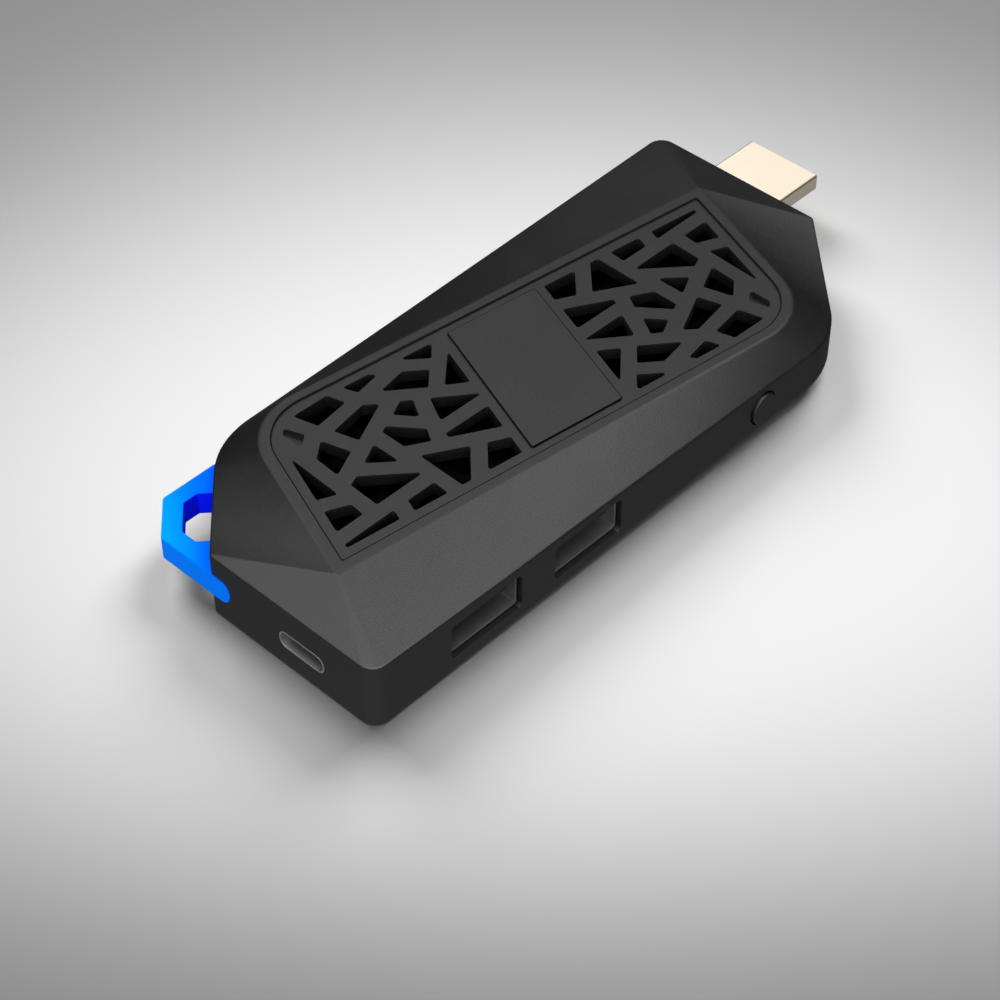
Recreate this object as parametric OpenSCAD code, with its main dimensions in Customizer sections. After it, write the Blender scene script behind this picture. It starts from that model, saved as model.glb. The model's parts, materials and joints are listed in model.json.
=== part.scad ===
// Stick computer: a faceted case with a pierced top plate, a video plug on its front wall,
// sockets, a board and its cooling. Sizes are in millimetres.
// +X points out of the plug, +Z is up, and the two wide sockets are in the -Y wall.
// The origin is the middle of the case, on the surface that it rests on.

/* [Case] */
// Length from the rear wall to the front wall
body_l = 116; // [110:1:145]
// Width between the two side walls
body_w = 50.8; // [50:0.2:64]
// Height of the flat rim on top
body_h = 13.2; // [13:0.1:16]
// Height of the walls at the square corners
wall_h = 11.4; // [11:0.1:13]
// Height of the walls at the swept corners
low_h = 8.8; // [8.4:0.1:10.5]
// Rise of the underside at the swept corners
lift = 2; // [0.5:0.1:2.4]
// Thickness of the walls
wall = 1.8; // [1.4:0.1:2.2]
// Length that a swept corner takes off a side wall
sweep_x = 17.5; // [14:0.5:22]
// Length that a swept corner takes off an end wall
sweep_y = 18.8; // [15.6:0.2:22]
// Radius of the swept corners
sweep_r = 15; // [6:0.5:18]
// Radius of the square corners
corner_r = 2.5; // [2:0.1:3.5]
// Radius of the blunt edge between an end wall and a swept wall
nose_r = 1; // [0.6:0.1:2]
// Size of the soft edge where two outer faces meet
soft_edge = 0.4; // [0.2:0.05:0.6]

/* [Top rim] */
// Distance of the rim's sharp corners from the end walls
peak_back = 8.2; // [6:0.1:12]
// Distance of the rim's sharp corners from the side walls
peak_side = 15.2; // [13:0.1:18]
// Distance of the rim's round corners from the end walls
shoulder_back = 20.1; // [17:0.1:24]
// Distance of the rim's round corners from the side walls
shoulder_side = 3; // [2.4:0.1:5]
// Radius of the rim's round corners
shoulder_r = 11.5; // [6:0.5:14]

/* [Underside] */
// Width of the narrow bevel between the flat underside and the walls
foot_in = 0.8; // [0.6:0.1:1.2]
// Distance of the flat from a swept corner, along the case
under_back = 2; // [1:0.5:4]
// Distance of the flat from a swept corner, across the case
under_side = 3; // [2:0.5:5]
// Width of the rim that the cover lies in
cover_rim = 1.6; // [1.2:0.1:2]
// Thickness of the cover and of the floor round it
cover_t = 1.6; // [1.2:0.1:2]

/* [Grille] */
// Distance of the plate's seam from the rim's edge
seam_in = 1.75; // [1.4:0.05:2.2]
// Thickness of the plate
grille_t = 2; // [1.6:0.1:2.4]
// Depth of the plate below the rim
grille_drop = 0.3; // [0.1:0.05:0.6]
// Width of the ledge under the plate
ledge_w = 1.5; // [1:0.1:1.6]
// Thickness of that ledge
ledge_t = 0.9; // [0.8:0.1:1.2]
// Radius in the corners of the openings
opening_r = 0.35; // [0.2:0.05:0.5]
// Depth of the blind opening in each field
blind_d = 0.9; // [0.5:0.1:1.4]

/* [Centre pad] */
// Length of the pad along the case
pad_l = 16.7; // [14:0.1:20]
// Length of the pad across the case
pad_w = 27.8; // [24:0.1:29]
// Thickness of the pad
pad_t = 0.85; // [0.7:0.05:1.2]
// Depth of its bed in the plate
pad_bed = 0.5; // [0.3:0.05:0.7]

/* [Wide sockets] */
// Distance of the first socket from the rear wall
socket_first = 21.6; // [20:0.1:24]
// Distance between the two sockets
socket_pitch = 20.6; // [20.4:0.1:25]
// Width of a socket's shell
socket_w = 13.3; // [12.8:0.1:13.6]
// Height of a socket's shell
socket_h = 5.6; // [5.4:0.1:6]
// Depth of a socket's shell
socket_d = 14; // [12:0.5:14]
// Thickness of a socket's shell
socket_t = 0.35; // [0.25:0.05:0.5]
// Depth of the shell's mouth behind the wall's face
socket_in = 0.8; // [0.4:0.1:1.2]
// Depth of the shell's floor below the top of the board
socket_sink = 0.55; // [0.3:0.05:0.8]

/* [Slim socket] */
// Distance of the slim socket from the right wall
power_side = 14.1; // [12.5:0.1:16]
// Width of its shell
power_w = 8.9; // [8.6:0.1:9.2]
// Height of its shell
power_h = 3.2; // [3:0.1:3.4]
// Depth of its shell
power_d = 7.4; // [6.5:0.1:8]
// Thickness of its shell
power_t = 0.3; // [0.2:0.05:0.4]

/* [Video plug] */
// Width of the plug
plug_w = 13.9; // [13.5:0.1:14.2]
// Height of the plug
plug_h = 4.45; // [4.3:0.05:4.6]
// Length of the plug outside the front wall
plug_out = 13; // [10:0.5:15]
// Length of the plug inside the front wall
plug_in = 9.5; // [8:0.5:11]
// Thickness of the plug's shell
plug_t = 0.5; // [0.3:0.05:0.6]
// Height of the straight sides, above the slanted ones
plug_side = 2.7; // [2.4:0.1:3]

/* [Power button] */
// Distance of the button from the front wall
button_back = 35; // [32:0.5:40]
// Radius of the button
button_r = 2.6; // [2:0.1:2.7]
// Gap between the button and its hole
button_gap = 0.3; // [0.2:0.05:0.4]
// Height of the button above the wall's face
button_out = 0.5; // [0.4:0.1:1]
// Travel of the button
button_travel = 0.3; // [0.2:0.05:0.4]

/* [Lanyard loop] */
// Height of the loop's bar
loop_t = 4; // [3:0.1:4.4]
// Width of the loop's bar
loop_bar = 3; // [2.4:0.1:3.4]
// Height of the loop above the resting surface
loop_z = 3.7; // [3:0.1:4]
// Distance of the loop's far side from the swept wall
loop_reach = 7.2; // [6.5:0.1:9]
// Distance of the loop from the left wall
loop_side = 2.5; // [2:0.1:4]
// Height of the loop above the rear wall's face
loop_proud = 0.2; // [0.1:0.05:0.4]
// Length of the loop's tongue on the rear wall
loop_tab = 3.6; // [3:0.1:5]
// Depth of the loop's seats in the walls
loop_seat = 1.2; // [0.8:0.1:1.2]

/* [Board and cooling] */
// Gap between the cover and the board
board_lift = 1; // [0.9:0.1:1.2]
// Thickness of the board
board_t = 1; // [0.8:0.1:1.2]
// Width of the square processor
chip_w = 14; // [10:0.5:16]
// Height of the processor
chip_h = 1.2; // [0.9:0.1:1.4]
// Thickness of the pad between the processor and the heat sink
thermal_t = 0.4; // [0.2:0.1:0.6]
// Length of the heat sink
sink_l = 24; // [18:0.5:25]
// Width of the heat sink
sink_w = 22; // [16:0.5:23]
// Number of fins
sink_fins = 9; // [5:1:12]
// Width of the square fan
fan_w = 25; // [20.5:0.5:25.5]
// Height of the fan
fan_h = 4.8; // [4.4:0.1:5]
// Number of fan blades
fan_blades = 9; // [5:1:11]

/* [Fasteners] */
// Radius of the cover screws' threads
cover_screw_r = 1; // [0.8:0.1:1.2]
// Radius of the threads of the board and cooling screws
small_screw_r = 0.8; // [0.6:0.1:1]
// Thickness of plastic round a screw
boss_t = 1.4; // [1.2:0.1:1.6]

/* [Fits] */
// Gap round a piece that is let into another
fit = 0.1; // [0.05:0.05:0.2]
// Gap round the metal shells of plug and sockets
shell_gap = 0.3; // [0.1:0.05:0.4]
// Gap between a screw and its hole
thread_gap = 0.05; // [0.03:0.01:0.1]

/* [Hidden] */
$fn = 48;
// How far a cutting shape runs past what it cuts
past = 1;
// Radius of corners that look sharp
tiny_r = 0.3;

// Steps along the outline: blunt edge, square corner, side wall, swept corner, swept wall
nose_n = 3;
corner_n = 5;
side_n = 8;
sweep_n = 10;
bevel_n = 4;

half_l = body_l / 2;
half_w = body_w / 2;
inner_y = half_w - wall;

// Plan of the case. Its other half is the same three corners turned by half a turn.
rear_left = [-half_l, half_w - sweep_y];
rear_right = [-half_l, -half_w];
front_right = [half_l - sweep_x, -half_w];
case_plan = [rear_left, rear_right, front_right, -rear_left, -rear_right, -front_right];

// Plan of the flat rim on top
peak = [-half_l + peak_back, -half_w + peak_side];
shoulder = [half_l - shoulder_back, -half_w + shoulder_side];
rim_plan = [peak, shoulder, -peak, -shoulder];

// Plan of the flat underside
foot_plan = inset(case_plan, foot_in);
under_corner = front_right + [-under_back, under_side];
under_plan = [foot_plan[0], foot_plan[1], under_corner, -foot_plan[0], -foot_plan[1], -under_corner];

// Heights: board, grille and the roof under it, cooling
board_z = cover_t + board_lift;
board_top = board_z + board_t;
board_gap = 0.4;
grille_top = body_h - grille_drop;
grille_z = grille_top - grille_t;
roof_z = grille_z - ledge_t;
boss_bite = 0.3;
boss_top = roof_z + boss_bite;
cool_z = board_top + chip_h + thermal_t;
ear_t = 1.4;
ear_top = cool_z + ear_t;

// The seam of the top plate, and the field of openings between its rear end and the pad
seam_plan = inset(rim_plan, seam_in);
seam_r = shoulder_r - seam_in;
along = unit(seam_plan[1] - seam_plan[0]);
across = unit(seam_plan[3] - seam_plan[0]);
field_l = norm(seam_plan[1] - seam_plan[0]) / 2 - pad_l / 2;
field_w = norm(seam_plan[3] - seam_plan[0]);
fan_at = field_point([50, 50]);
sink_at = -fan_at;

// Corners of the openings in hundredths of the field, along it and across it
OPENINGS = [
    [[16.5, 93], [35, 95], [40.5, 85.5], [24, 80]],
    [[43, 95], [57, 95], [60.5, 92], [48, 87.5]],
    [[72.5, 94.5], [91, 94.5], [86.5, 85.5]],
    [[57, 81.5], [71, 86.5], [82.5, 79.5], [77, 69.5]],
    [[28.5, 72.5], [46.5, 79], [53.5, 74.5], [36, 60]],
    [[21, 71], [30, 56], [19, 47], [15, 62]],
    [[5, 67.5], [6, 67.5], [14.5, 36.5], [5, 39.5]],
    [[5, 31.5], [17, 27.5], [19, 19], [5, 17]],
    [[5, 8.5], [31.5, 12.5], [31.5, 6], [5, 6]],
    [[39, 13.5], [53.5, 15.5], [56, 6], [39, 6]],
    [[21.5, 38], [26, 41], [50.5, 25], [50.5, 23.5], [26.5, 20]],
    [[32, 46], [40.5, 53.5], [46, 36.5]],
    [[47, 58], [50, 60], [65, 46.5], [63.5, 38.5], [51.5, 43.5]],
    [[55.5, 64.5], [62, 70], [67.5, 67], [65.5, 55.5]],
    [[74.5, 63], [95, 51], [95, 50], [72.5, 47]],
    [[94, 83], [95, 83], [95, 60], [84, 66]],
    [[71, 38.5], [95, 41.5], [95, 25.5], [71, 35.5]],
    [[55, 34], [77, 24.5], [68, 6], [63.5, 6]],
    [[84.5, 21.5], [95, 17.5], [95, 6], [77, 6]]];
BLIND = [[10, 89], [16.5, 79], [12, 72.5], [8, 85]];

// Where the sockets, the plug and the button are
socket_rear = -half_l + socket_first;
socket_front = socket_rear + socket_pitch;
socket_mouth = -half_w + socket_in;
socket_z = board_top - socket_sink + socket_h / 2;
power_y = -half_w + power_side;
power_z = board_top + power_h / 2;
plug_y = sweep_y / 2;
plug_z = board_top;
button_rise = 1.8;
button_x = half_l - button_back;
button_z = board_top + button_rise;

// Screws: the cover's in two pairs half a turn apart, the board's between the parts on it,
// and one at each of two corners of the fan and of the heat sink
post_in = 5.9;
post_back = 7.5;
nose_in = 4.6;
corner_post = [-half_l + post_back, -half_w + post_in];
nose_post = [-half_l + post_back, rear_left[1] - nose_in];
COVER_POSTS = [corner_post, nose_post, -corner_post, -nose_post];
post_gap = 5.6;
left_post_backs = [52, 26];
BOARD_POSTS = [
    [(socket_rear + socket_front) / 2, -half_w + post_in],
    [socket_front + socket_w / 2 + post_gap, -half_w + post_in],
    for (back = left_post_backs) [half_l - back, half_w - post_in]];
ear_in = 1.9;
fan_ear = fan_w / 2 - ear_in;
sink_ear_out = 1.2;
sink_ear_side = 6.5;
sink_ear = [sink_l / 2 + sink_ear_out, sink_ear_side];
FAN_EARS = [fan_at + [fan_ear, -fan_ear], fan_at + [-fan_ear, fan_ear]];
SINK_EARS = [sink_at + sink_ear, sink_at - sink_ear];
cover_boss_r = cover_screw_r + boss_t;
board_boss_r = small_screw_r + boss_t;
boss_gap = 0.3;
ear_wall = 1.1;
ear_r = small_screw_r + ear_wall;
head_edge = 0.7;
head_r = small_screw_r + head_edge;
head_h = 0.8;
cover_head_edge = 1;
cover_head_r = cover_screw_r + cover_head_edge;
cover_head_h = 1;
cover_screw_l = 6.5;
board_screw_l = 4;

// Plane geometry
function unit(v) = v / norm(v);
function turned(p) = [-p[1], p[0]];
function last(list) = list[len(list) - 1];
function between(a, b, n) = [for (i = [1:n - 1]) a + (b - a) * i / n];
function both(half) = concat(half, [for (p = half) -p]);
function field_point(p) = seam_plan[0] + along * field_l * p[0] / 100 + across * field_w * p[1] / 100;
// The corner q of p, q, s, moved inwards by d
function corner_in(p, q, s, d) =
    let (a = unit(p - q), b = unit(s - q))
    q + unit(a + b) * d / sin(acos(a * b) / 2);
function inset(pts, d) =
    let (n = len(pts))
    [for (i = [0:n - 1]) corner_in(pts[(i + n - 1) % n], pts[i], pts[(i + 1) % n], d)];
// The corner q of p, q, s, rounded in n steps
function round_corner(p, q, s, r, n) =
    let (a = unit(p - q), b = unit(s - q), half = acos(a * b) / 2,
         c = q + unit(a + b) * r / sin(half),
         start = q + a * r / tan(half) - c,
         turn = (180 - 2 * half) * sign(cross(q - p, s - q)),
         a0 = atan2(start[1], start[0]))
    [for (i = [0:n]) c + r * [cos(a0 + turn * i / n), sin(a0 + turn * i / n)]];
// The radius r, or less at a corner with too short a side for it
side_share = 0.45;
function fair_r(p, q, s, r) =
    let (half = acos(unit(p - q) * unit(s - q)) / 2)
    min(r, side_share * min(norm(p - q), norm(s - q)) * tan(half));
function round_all(pts, r, n = 4) =
    let (m = len(pts))
    [for (i = [0:m - 1]) let (p = pts[(i + m - 1) % m], q = pts[i], s = pts[(i + 1) % m])
        each round_corner(p, q, s, fair_r(p, q, s, r), n)];
function box_plan(w, h, r) =
    round_all([[-w / 2, -h / 2], [w / 2, -h / 2], [w / 2, h / 2], [-w / 2, h / 2]], r, 6);

// Outlines with equal numbers of points, so that they can be joined level by level.
// Each gives half of its ring; d moves it inwards.
function half_ring(end, sweep) =
    concat(end, between(last(end), sweep[0], side_n), sweep, between(last(sweep), -end[0], bevel_n));
function case_half(d) =
    let (c = inset(case_plan, d))
    half_ring(
        concat(round_corner(c[5], c[0], c[1], max(nose_r - d, tiny_r), nose_n),
            round_corner(c[0], c[1], c[2], max(corner_r - d, tiny_r), corner_n)),
        round_corner(c[1], c[2], c[3], max(sweep_r - d, tiny_r), sweep_n));
function under_half(d) =
    let (c = inset(under_plan, d))
    half_ring(
        concat(round_corner(c[5], c[0], c[1], tiny_r, nose_n),
            round_corner(c[0], c[1], c[2], max(corner_r - foot_in - d, tiny_r), corner_n)),
        round_corner(c[1], c[2], c[3], sweep_r, sweep_n));
// The rim's sharp corner stands for the whole end wall
function rim_half(d) =
    let (c = inset(rim_plan, d))
    half_ring(
        round_corner(c[3], c[0], c[1], tiny_r, nose_n + corner_n + 1),
        round_corner(c[0], c[1], c[2], max(shoulder_r - d, tiny_r), sweep_n));
// How far each point of a half ring lies towards the swept corner, from 0 to 1
half_share = concat(
    [for (i = [0:nose_n + corner_n + 1]) 0], [for (i = [1:side_n - 1]) i / side_n],
    [for (i = [0:sweep_n]) 1], [for (i = [1:bevel_n - 1]) 1 - i / bevel_n]);
share = concat(half_share, half_share);
function brow_z(s) = wall_h + (low_h - wall_h) * s;
function raised(ring, z) = [for (p = ring) [p[0], p[1], z]];
// Three points that soften the corner q of p, q, s
function softened(p, q, s) =
    [for (t = [0, 0.5, 1]) q + soft_edge * (unit(p - q) * (1 - t) * (1 - t) + unit(s - q) * t * t)];

// A closed form from columns of points, each listed from its lowest to its highest.
// Its flat ends are triangles round their middles.
module loft(columns) {
    n = len(columns);
    m = len(columns[0]);
    middles = [[0, 0, columns[0][0][2]], [0, 0, columns[0][m - 1][2]]];
    polyhedron(
        points = concat([for (c = columns) each c], middles),
        faces = [for (j = [0:n - 1]) let (k = (j + 1) % n) each concat(
            [[n * m, j * m, k * m], [n * m + 1, k * m + m - 1, j * m + m - 1]],
            [for (i = [0:m - 2]) each [
                [j * m + i, j * m + i + 1, k * m + i + 1], [j * m + i, k * m + i + 1, k * m + i]]])],
        convexity = 6);
}

// The outside of the case
module case_form() {
    wall_ring = both(case_half(0));
    under_ring = raised(both(under_half(0)), 0);
    rim = raised(both(rim_half(0)), body_h);
    rim_inner = raised(both(rim_half(seam_in / 2)), body_h);
    loft([for (j = [0:len(wall_ring) - 1])
        let (foot = [wall_ring[j][0], wall_ring[j][1], lift * share[j]],
             brow = [wall_ring[j][0], wall_ring[j][1], brow_z(share[j])])
        concat([under_ring[j]], softened(under_ring[j], foot, brow),
            softened(foot, brow, rim[j]), softened(brow, rim[j], rim_inner[j]))]);
}

// The hollow inside the walls, between the floor and the roof
floor_slope = 0.6;
floor_in = wall - foot_in + floor_slope;
floor_rise = 0.4;
brow_t = 1.9;
module cavity_form() {
    floor_ring = raised(both(under_half(floor_in)), cover_t);
    wall_ring = both(case_half(wall));
    roof_ring = raised(both(rim_half(seam_in)), roof_z);
    loft([for (j = [0:len(wall_ring) - 1])
        let (p = wall_ring[j])
        [floor_ring[j],
         [p[0], p[1], lift * share[j] + cover_t + floor_rise],
         [p[0], p[1], brow_z(share[j]) - brow_t],
         roof_ring[j]]]);
}

// The grille's outline, moved outwards by g
module seam_outline(g) {
    c = inset(seam_plan, -g);
    polygon(concat(
        round_corner(c[3], c[0], c[1], tiny_r, 3), round_corner(c[0], c[1], c[2], seam_r + g, 12),
        round_corner(c[1], c[2], c[3], tiny_r, 3), round_corner(c[2], c[3], c[0], seam_r + g, 12)));
}

// The flat underside's outline, moved inwards by d
module under_outline(d) polygon(both(under_half(d)));

// The pad's outline, moved outwards by g
module pad_outline(g) {
    a = along * (pad_l / 2 + g);
    b = across * (pad_w / 2 + g);
    polygon(round_all([-a - b, a - b, a + b, -a + b], tiny_r));
}

// Lays a plane shape against a side wall: its X and Y become X and Z, and it runs h towards -Y from y
module along_y(y, h) translate([0, y, 0]) rotate([90, 0, 0]) linear_extrude(h) children();

// Lays a plane shape across the case: its X and Y become Y and Z, and it runs h towards +X from x
module along_x(x, h) translate([x, 0, 0]) rotate([90, 0, 90]) linear_extrude(h) children();

module posts(places, z, h, r)
    for (p = places) translate([p[0], p[1], z]) cylinder(h = h, r = r);

// A block of the given size whose base has its middle at p, at height z
module block(p, z, size)
    translate([p[0] - size[0] / 2, p[1] - size[1] / 2, z]) cube(size);

// The loop lies between the lines of the rear wall, the left wall and the swept wall.
// A point at distance d outside the swept wall is found from its x or its y.
sweep_dir = unit(-front_right - rear_left);
sweep_out = turned(sweep_dir);
function at_x(x, d) =
    let (o = rear_left + sweep_out * d)
    o + sweep_dir * (x - o[0]) / sweep_dir[0];
function at_y(y, d) =
    let (o = rear_left + sweep_out * d)
    o + sweep_dir * (y - o[1]) / sweep_dir[1];
loop_x = -half_l - loop_proud;
loop_y = half_w - loop_side;
loop_neck = 2.3;
loop_r = 0.8;

// Plan of the loop, grown by g for its seats
module loop_plan(g) {
    inner = loop_reach - loop_bar - g;
    left = loop_x + loop_bar + g;
    top = loop_y - loop_bar - g;
    inwards = -2 * loop_neck * sweep_out;
    difference() {
        polygon(round_all([at_x(loop_x - g, -loop_seat - g), at_x(loop_x - g, loop_reach + g),
            at_y(loop_y + g, loop_reach + g), at_y(loop_y + g, -loop_seat - g)], loop_r));
        polygon([at_x(left, loop_neck), at_x(left, inner), at_y(top, inner), at_y(top, loop_neck),
            at_y(top, loop_neck) + inwards, at_x(left, loop_neck) + inwards]);
    }
}

// The loop with its tongue on the rear wall, grown by g for its seats
module loop_solid(g) {
    height = loop_t + 2 * g;
    tab_end = rear_left[1] + loop_t / 2;
    tab_l = loop_tab + loop_t / 2 + g;
    translate([0, 0, loop_z - g]) linear_extrude(height) loop_plan(g);
    along_x(loop_x - g, loop_seat + 2 * g) translate([tab_end - tab_l / 2, loop_z + loop_t / 2])
        polygon(box_plan(tab_l, height, height / 2));
}

// The plug's outline: straight sides above, slanted sides below; g moves it inwards
plug_slant = 1.6;
plug_r = 0.35;
function plug_plan(g) =
    let (a = plug_w / 2, b = a - plug_slant, k = plug_h - plug_side)
    [for (p = inset([[-b, 0], [b, 0], [a, k], [a, plug_h], [-a, plug_h], [-a, k]], g)) p + [plug_y, plug_z]];
module plug_solid(g, x, h) along_x(x, h) polygon(round_all(plug_plan(g), plug_r));

window_r = 0.8;
module socket_window(x) {
    w = socket_w + 2 * shell_gap;
    h = socket_h + 2 * shell_gap;
    along_y(socket_mouth + socket_d + shell_gap, socket_d + socket_in + shell_gap + past)
        translate([x, socket_z]) polygon(box_plan(w, h, window_r));
}

// The slim socket's outline, moved outwards by g
power_flat = 0.1;
power_r = (power_h - power_flat) / 2;
module power_outline(g)
    translate([power_y, power_z]) polygon(box_plan(power_w + 2 * g, power_h + 2 * g, power_r + g));

module top_housing() color("#2b2b2e") difference() {
    case_form();
    difference() {
        cavity_form();
        posts(COVER_POSTS, cover_t, boss_top - cover_t, cover_boss_r);
        posts(BOARD_POSTS, board_top, boss_top - board_top, board_boss_r);
    }
    translate([0, 0, grille_z]) linear_extrude(grille_t + past) seam_outline(fit);
    translate([0, 0, roof_z - past]) linear_extrude(grille_t + 2 * past) seam_outline(-ledge_w);
    translate([0, 0, -past]) linear_extrude(cover_t + past) under_outline(cover_rim);
    socket_window(socket_rear);
    socket_window(socket_front);
    along_x(-half_l - past, wall + power_d) power_outline(fit);
    plug_solid(-shell_gap / 2, half_l - wall - past, wall + 2 * past);
    translate([button_x, -inner_y + past, button_z]) rotate([90, 0, 0])
        cylinder(h = wall + 2 * past, r = button_r + button_gap);
    loop_solid(fit / 2);
    posts(COVER_POSTS, cover_t - past, cover_screw_l + past, cover_screw_r + thread_gap);
    posts(BOARD_POSTS, board_top - past, board_screw_l + past, small_screw_r + thread_gap);
}

module bottom_cover() color("#242427") difference() {
    linear_extrude(cover_t) under_outline(cover_rim + fit);
    for (p = COVER_POSTS) translate([p[0], p[1], 0]) {
        cylinder(h = cover_t + past, r = cover_screw_r + thread_gap);
        translate([0, 0, -thread_gap])
            cylinder(h = cover_head_h, r1 = cover_head_r + thread_gap, r2 = cover_screw_r + thread_gap);
    }
}

module grille_plate() color("#333336") difference() {
    translate([0, 0, grille_z]) linear_extrude(grille_t) seam_outline(-fit);
    for (side = [1, -1]) {
        translate([0, 0, grille_z - past]) linear_extrude(grille_t + 2 * past)
            for (hole = OPENINGS) polygon(round_all([for (p = hole) side * field_point(p)], opening_r));
        translate([0, 0, grille_top - blind_d]) linear_extrude(blind_d + past)
            polygon(round_all([for (p = BLIND) side * field_point(p)], opening_r));
    }
    translate([0, 0, grille_top - pad_bed]) linear_extrude(pad_bed + past) pad_outline(fit / 2);
}

module centre_pad() color("#303033")
    translate([0, 0, grille_top - pad_bed]) linear_extrude(pad_t) pad_outline(0);

module lanyard_loop() color("#0a86f5") loop_solid(0);

// The button's round cap, and the wings that keep it behind the wall
wing_w = 8.4;
wing_h = 2.6;
wing_t = 0.8;
wing_y = -inner_y + fit;
wing_back = wing_y + wing_t;
module power_button() color("#1f1f22") {
    translate([button_x, wing_y, button_z]) rotate([90, 0, 0])
        cylinder(h = wall + fit + button_out, r = button_r);
    block([button_x, wing_y + wing_t / 2], button_z - wing_h / 2, [wing_w, wing_t, wing_h]);
}

// The switch on the board, and its plunger between the wings and the bottom of its pocket
switch_size = [6, 3.4, 3.5];
switch_gap = 1;
switch_y = wing_back + switch_gap;
plunger_size = [2.2, 2, 1.2];
plunger_z = button_z - plunger_size[2] / 2;
plunger_end = wing_back + plunger_size[1];
module button_switch() color("#3a3a3c") difference() {
    block([button_x, switch_y + switch_size[1] / 2], board_top, switch_size);
    translate([button_x - plunger_size[0] / 2 - fit, switch_y - past, plunger_z - fit])
        cube([plunger_size[0] + 2 * fit, plunger_end + button_travel + fit - switch_y + past,
            plunger_size[2] + 2 * fit]);
}
module switch_plunger() color("#c8c8cc")
    block([button_x, wing_back + plunger_size[1] / 2], plunger_z, plunger_size);

// The plug: shell, insulator with a slot in its front, and contacts in the slot's two faces
plug_end = half_l + plug_out;
plug_start = half_l - plug_in;
core_in = 0.7;
core_front = plug_end - core_in;
slot_size = [8, 10.8, 1.7];
slot_rise = 0.2;
slot_z = plug_z + plug_h / 2 + slot_rise - slot_size[2] / 2;
pin_t = 0.2;
pin_w = 0.5;
pin_in = 0.6;
pin_l = slot_size[0] - pin_in;
PIN_ROWS = [[10, slot_z + slot_size[2] - pin_t], [9, slot_z]];
module video_plug_shell() color("#e8d9b0") difference() {
    plug_solid(0, plug_start, plug_end - plug_start);
    plug_solid(plug_t, plug_start - past, plug_end - plug_start + 2 * past);
}
module video_plug_core() color("#1d1d20") difference() {
    plug_solid(plug_t + thread_gap, plug_start, core_front - plug_start);
    block([core_front, plug_y], slot_z, [2 * slot_size[0], slot_size[1], slot_size[2]]);
}
module video_plug_pins() color("#d8b765")
    for (row = PIN_ROWS, i = [0:row[0] - 1])
        block([core_front - slot_size[0] + pin_l / 2, plug_y + i - (row[0] - 1) / 2], row[1],
            [pin_l, pin_w, pin_t]);

// A wide socket: shell with side tabs on the board, insulator with its tongue, and contacts
shell_r = 0.6;
tab_size = [1.3, 3, 0.4];
tab_in = 10;
tab_y = socket_mouth + tab_in;
back_d = 3;
back_y = socket_mouth + socket_d - back_d;
tongue_w = 11.2;
tongue_t = 1.9;
tongue_gap = 0.4;
tongue_z = socket_z + socket_h / 2 - socket_t - tongue_gap - tongue_t;
tongue_in = 0.9;
tongue_y = socket_mouth + tongue_in;
contact_in = 0.9;
contact_y = tongue_y + contact_in;
contact_w = 1;
CONTACTS = [-3.5, -1, 1, 3.5];
module socket_shell(x) {
    difference() {
        along_y(socket_mouth + socket_d, socket_d)
            translate([x, socket_z]) polygon(box_plan(socket_w, socket_h, shell_r));
        along_y(socket_mouth + socket_d + past, socket_d + 2 * past) translate([x, socket_z])
            polygon(box_plan(socket_w - 2 * socket_t, socket_h - 2 * socket_t, shell_r - socket_t));
    }
    for (side = [-1, 1])
        block([x + side * (socket_w + tab_size[0]) / 2, tab_y], board_top, tab_size);
}
module socket_tongue(x) {
    in = 2 * (socket_t + thread_gap);
    along_y(socket_mouth + socket_d, back_d)
        translate([x, socket_z]) polygon(box_plan(socket_w - in, socket_h - in, shell_r - socket_t));
    translate([x - tongue_w / 2, tongue_y, tongue_z]) cube([tongue_w, back_y - tongue_y, tongue_t]);
}
module socket_pins(x)
    for (i = CONTACTS) translate([x + i - contact_w / 2, contact_y, tongue_z - pin_t])
        cube([contact_w, back_y - contact_y, pin_t]);
module rear_socket_shell() color("#9a9a9e") socket_shell(socket_rear);
module rear_socket_tongue() color("#1b1b1e") socket_tongue(socket_rear);
module rear_socket_pins() color("#d8b765") socket_pins(socket_rear);
module front_socket_shell() color("#9a9a9e") socket_shell(socket_front);
module front_socket_tongue() color("#1b1b1e") socket_tongue(socket_front);
module front_socket_pins() color("#d8b765") socket_pins(socket_front);

// The slim socket: shell, and an insulator with a thin tongue in its middle
power_back = 2;
power_tongue_in = 1;
power_tongue = [power_d - power_back - power_tongue_in, 6.6, 0.7];
module power_socket_shell() color("#a8a8ab") difference() {
    along_x(-half_l, power_d) power_outline(0);
    along_x(-half_l - past, power_d + 2 * past) power_outline(-power_t);
}
module power_socket_tongue() color("#1b1b1e") {
    back_x = -half_l + power_d - power_back;
    along_x(back_x, power_back) power_outline(-power_t - thread_gap);
    block([back_x - power_tongue[0] / 2, power_y], power_z - power_tongue[2] / 2, power_tongue);
}

module main_board() color("#1e2420") difference() {
    translate([0, 0, board_z]) linear_extrude(board_t) under_outline(cover_rim + board_gap);
    for (x = [socket_rear, socket_front])
        translate([x - socket_w / 2 - shell_gap, -half_w, board_z - past])
            cube([socket_w + 2 * shell_gap, socket_in + socket_d + shell_gap, board_t + 2 * past]);
    posts(COVER_POSTS, board_z - past, board_t + 2 * past, cover_boss_r + boss_gap);
    posts(concat(BOARD_POSTS, FAN_EARS, SINK_EARS), board_z - past, board_t + 2 * past,
        small_screw_r + thread_gap);
}

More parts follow.
